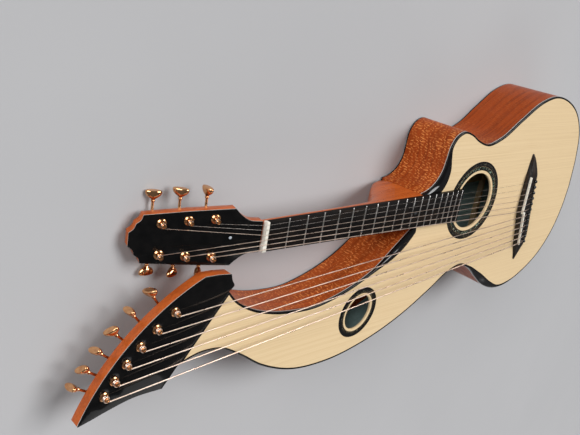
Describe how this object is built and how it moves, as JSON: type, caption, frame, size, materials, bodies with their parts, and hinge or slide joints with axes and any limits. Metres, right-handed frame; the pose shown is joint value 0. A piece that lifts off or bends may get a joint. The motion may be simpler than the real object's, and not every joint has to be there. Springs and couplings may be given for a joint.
{
  "type": "harp guitar",
  "caption": "Hollow-arm harp guitar with a cutaway body, a fretted neck, sub-bass strings over the arm and worm-geared tuning machines.",
  "frame": {"origin": "on the flat back, under the middle of the saddle", "axes": "+X along the neck towards the tail, +Y towards the treble side, +Z out of the back towards the soundboard"},
  "size_m": [1.105, 0.435, 0.1253],
  "materials": {
    "spruce": "gloss lacquer",
    "mahogany": "gloss lacquer",
    "ebony": "satin",
    "black_binding": "gloss",
    "bone": "polished",
    "gold_plate": "plated, gloss",
    "bronze_string": "wound wire",
    "shell_inlay": "gloss"
  },
  "bodies": {
    "instrument": {"arm_rib": "mahogany", "arm_rosette": "shell_inlay", "back_binding": "black_binding", "back_bracing": "spruce", "back_plate": "mahogany", "bass_rib": "mahogany", "bass_string_1": "bronze_string", "bass_string_2": "bronze_string", "bass_string_3": "bronze_string", "bass_string_4": "bronze_string", "bass_string_5": "bronze_string", "bass_string_6": "bronze_string", "bass_tuner_plate": "gold_plate", "bridge": "ebony", "fretboard": "ebony", "harp_head": "mahogany", "harp_head_veneer": "ebony", "harp_tuner_plate": "gold_plate", "headstock_veneer": "ebony", "main_rosette": "shell_inlay", "neck": "mahogany", "neck_block": "mahogany", "neck_string_1": "bronze_string", "neck_string_2": "bronze_string", "neck_string_3": "bronze_string", "neck_string_4": "bronze_string", "neck_string_5": "bronze_string", "neck_string_6": "bronze_string", "nut": "bone", "saddle": "bone", "soundboard": "spruce", "tail_block": "mahogany", "top_binding": "black_binding", "top_bracing": "spruce", "treble_rib": "mahogany", "treble_tuner_plate": "gold_plate"},
    "neck_knob_1": {"neck_knob_1": "gold_plate"},
    "neck_post_1": {"neck_post_1": "gold_plate"},
    "neck_knob_2": {"neck_knob_2": "gold_plate"},
    "neck_post_2": {"neck_post_2": "gold_plate"},
    "neck_knob_3": {"neck_knob_3": "gold_plate"},
    "neck_post_3": {"neck_post_3": "gold_plate"},
    "neck_knob_4": {"neck_knob_4": "gold_plate"},
    "neck_post_4": {"neck_post_4": "gold_plate"},
    "neck_knob_5": {"neck_knob_5": "gold_plate"},
    "neck_post_5": {"neck_post_5": "gold_plate"},
    "neck_knob_6": {"neck_knob_6": "gold_plate"},
    "neck_post_6": {"neck_post_6": "gold_plate"},
    "harp_knob_1": {"harp_knob_1": "gold_plate"},
    "harp_post_1": {"harp_post_1": "gold_plate"},
    "harp_knob_2": {"harp_knob_2": "gold_plate"},
    "harp_post_2": {"harp_post_2": "gold_plate"},
    "harp_knob_3": {"harp_knob_3": "gold_plate"},
    "harp_post_3": {"harp_post_3": "gold_plate"},
    "harp_knob_4": {"harp_knob_4": "gold_plate"},
    "harp_post_4": {"harp_post_4": "gold_plate"},
    "harp_knob_5": {"harp_knob_5": "gold_plate"},
    "harp_post_5": {"harp_post_5": "gold_plate"},
    "harp_knob_6": {"harp_knob_6": "gold_plate"},
    "harp_post_6": {"harp_post_6": "gold_plate"}
  },
  "joints": [
    {"name": "neck_knob_1_turn", "type": "hinge", "parent": "instrument", "child": "neck_knob_1", "pos_m": [-0.72654, 0.0266, 0.02961], "axis": [0, 1, 0], "continuous": true},
    {"name": "neck_post_1_turn", "type": "hinge", "parent": "instrument", "child": "neck_post_1", "pos_m": [-0.72066, 0.0266, 0.03712], "axis": [-0.3252, 0, 0.9457], "continuous": true},
    {"name": "neck_knob_2_turn", "type": "hinge", "parent": "instrument", "child": "neck_knob_2", "pos_m": [-0.76058, 0.0246, 0.0179], "axis": [0, 1, 0], "continuous": true},
    {"name": "neck_post_2_turn", "type": "hinge", "parent": "instrument", "child": "neck_post_2", "pos_m": [-0.75471, 0.0246, 0.02542], "axis": [-0.3252, 0, 0.9457], "continuous": true},
    {"name": "neck_knob_3_turn", "type": "hinge", "parent": "instrument", "child": "neck_knob_3", "pos_m": [-0.79396, 0.0214, 0.00642], "axis": [0, 1, 0], "continuous": true},
    {"name": "neck_post_3_turn", "type": "hinge", "parent": "instrument", "child": "neck_post_3", "pos_m": [-0.78809, 0.0214, 0.01394], "axis": [-0.3252, 0, 0.9457], "continuous": true},
    {"name": "neck_knob_4_turn", "type": "hinge", "parent": "instrument", "child": "neck_knob_4", "pos_m": [-0.79396, -0.0214, 0.00642], "axis": [0, -1, 0], "continuous": true},
    {"name": "neck_post_4_turn", "type": "hinge", "parent": "instrument", "child": "neck_post_4", "pos_m": [-0.78809, -0.0214, 0.01394], "axis": [-0.3252, 0, 0.9457], "continuous": true},
    {"name": "neck_knob_5_turn", "type": "hinge", "parent": "instrument", "child": "neck_knob_5", "pos_m": [-0.76058, -0.0246, 0.0179], "axis": [0, -1, 0], "continuous": true},
    {"name": "neck_post_5_turn", "type": "hinge", "parent": "instrument", "child": "neck_post_5", "pos_m": [-0.75471, -0.0246, 0.02542], "axis": [-0.3252, 0, 0.9457], "continuous": true},
    {"name": "neck_knob_6_turn", "type": "hinge", "parent": "instrument", "child": "neck_knob_6", "pos_m": [-0.72654, -0.0266, 0.02961], "axis": [0, -1, 0], "continuous": true},
    {"name": "neck_post_6_turn", "type": "hinge", "parent": "instrument", "child": "neck_post_6", "pos_m": [-0.72066, -0.0266, 0.03712], "axis": [-0.3252, 0, 0.9457], "continuous": true},
    {"name": "harp_knob_1_turn", "type": "hinge", "parent": "instrument", "child": "harp_knob_1", "pos_m": [-0.79284, -0.09015, 0.04519], "axis": [-0.5657, 0.8241, -0.0294], "continuous": true},
    {"name": "harp_post_1_turn", "type": "hinge", "parent": "instrument", "child": "harp_post_1", "pos_m": [-0.78653, -0.08562, 0.05072], "axis": [-0.0519, 0, 0.9987], "continuous": true},
    {"name": "harp_knob_2_turn", "type": "hinge", "parent": "instrument", "child": "harp_knob_2", "pos_m": [-0.81719, -0.10981, 0.04392], "axis": [-0.6459, 0.7627, -0.0336], "continuous": true},
    {"name": "harp_post_2_turn", "type": "hinge", "parent": "instrument", "child": "harp_post_2", "pos_m": [-0.81137, -0.10463, 0.04943], "axis": [-0.0519, 0, 0.9987], "continuous": true},
    {"name": "harp_knob_3_turn", "type": "hinge", "parent": "instrument", "child": "harp_knob_3", "pos_m": [-0.83797, -0.13024, 0.04284], "axis": [-0.7147, 0.6984, -0.0372], "continuous": true},
    {"name": "harp_post_3_turn", "type": "hinge", "parent": "instrument", "child": "harp_post_3", "pos_m": [-0.83266, -0.12451, 0.04833], "axis": [-0.0519, 0, 0.9987], "continuous": true},
    {"name": "harp_knob_4_turn", "type": "hinge", "parent": "instrument", "child": "harp_knob_4", "pos_m": [-0.85542, -0.15082, 0.04194], "axis": [-0.7728, 0.6334, -0.0402], "continuous": true},
    {"name": "harp_post_4_turn", "type": "hinge", "parent": "instrument", "child": "harp_post_4", "pos_m": [-0.85062, -0.14463, 0.04739], "axis": [-0.0519, 0, 0.9987], "continuous": true},
    {"name": "harp_knob_5_turn", "type": "hinge", "parent": "instrument", "child": "harp_knob_5", "pos_m": [-0.86983, -0.17104, 0.04119], "axis": [-0.821, 0.5694, -0.0427], "continuous": true},
    {"name": "harp_post_5_turn", "type": "hinge", "parent": "instrument", "child": "harp_post_5", "pos_m": [-0.86555, -0.16447, 0.04661], "axis": [-0.0519, 0, 0.9987], "continuous": true},
    {"name": "harp_knob_6_turn", "type": "hinge", "parent": "instrument", "child": "harp_knob_6", "pos_m": [-0.88154, -0.19046, 0.04058], "axis": [-0.8604, 0.5076, -0.0447], "continuous": true},
    {"name": "harp_post_6_turn", "type": "hinge", "parent": "instrument", "child": "harp_post_6", "pos_m": [-0.87775, -0.18357, 0.04598], "axis": [-0.0519, 0, 0.9987], "continuous": true}
  ],
  "couplings": [
    {"joint": "neck_post_1_turn", "follows": "neck_knob_1_turn", "ratio": 0.083333},
    {"joint": "neck_post_2_turn", "follows": "neck_knob_2_turn", "ratio": 0.083333},
    {"joint": "neck_post_3_turn", "follows": "neck_knob_3_turn", "ratio": 0.083333},
    {"joint": "neck_post_4_turn", "follows": "neck_knob_4_turn", "ratio": -0.083333},
    {"joint": "neck_post_5_turn", "follows": "neck_knob_5_turn", "ratio": -0.083333},
    {"joint": "neck_post_6_turn", "follows": "neck_knob_6_turn", "ratio": -0.083333},
    {"joint": "harp_post_1_turn", "follows": "harp_knob_1_turn", "ratio": 0.083333},
    {"joint": "harp_post_2_turn", "follows": "harp_knob_2_turn", "ratio": 0.083333},
    {"joint": "harp_post_3_turn", "follows": "harp_knob_3_turn", "ratio": 0.083333},
    {"joint": "harp_post_4_turn", "follows": "harp_knob_4_turn", "ratio": 0.083333},
    {"joint": "harp_post_5_turn", "follows": "harp_knob_5_turn", "ratio": 0.083333},
    {"joint": "harp_post_6_turn", "follows": "harp_knob_6_turn", "ratio": 0.083333}
  ]
}
